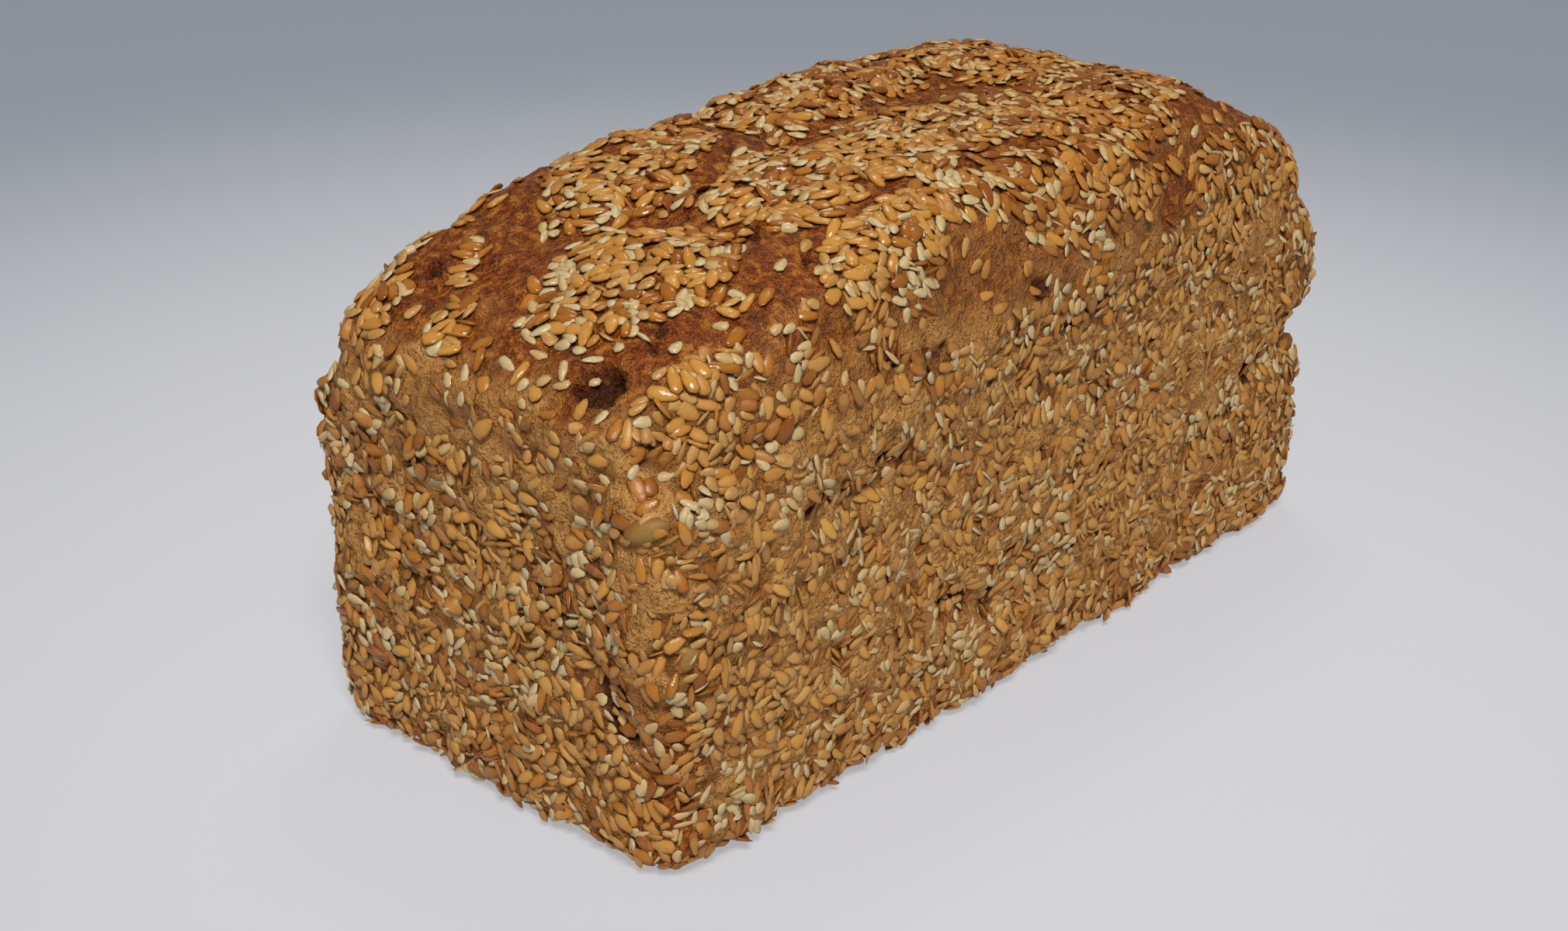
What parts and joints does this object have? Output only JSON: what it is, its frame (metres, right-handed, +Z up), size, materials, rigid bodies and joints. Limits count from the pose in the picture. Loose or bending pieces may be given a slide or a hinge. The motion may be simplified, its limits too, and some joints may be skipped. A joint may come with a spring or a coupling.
{
  "type": "seeded tin loaf",
  "caption": "Roasted grain bread: an uncut tin loaf with a domed, torn top, coated all over in small flat seeds.",
  "frame": {"origin": "middle of the loaf's box, at the plane of its flat base", "axes": "+X along the loaf's length towards its fuller, far end, +Y across it, +Z up; the side and the end that the picture shows face -Y and -X"},
  "size_m": [0.214, 0.097, 0.1065],
  "materials": {
    "crust": "matte"
  },
  "bodies": {
    "root": {"loaf": "crust"}
  },
  "joints": []
}
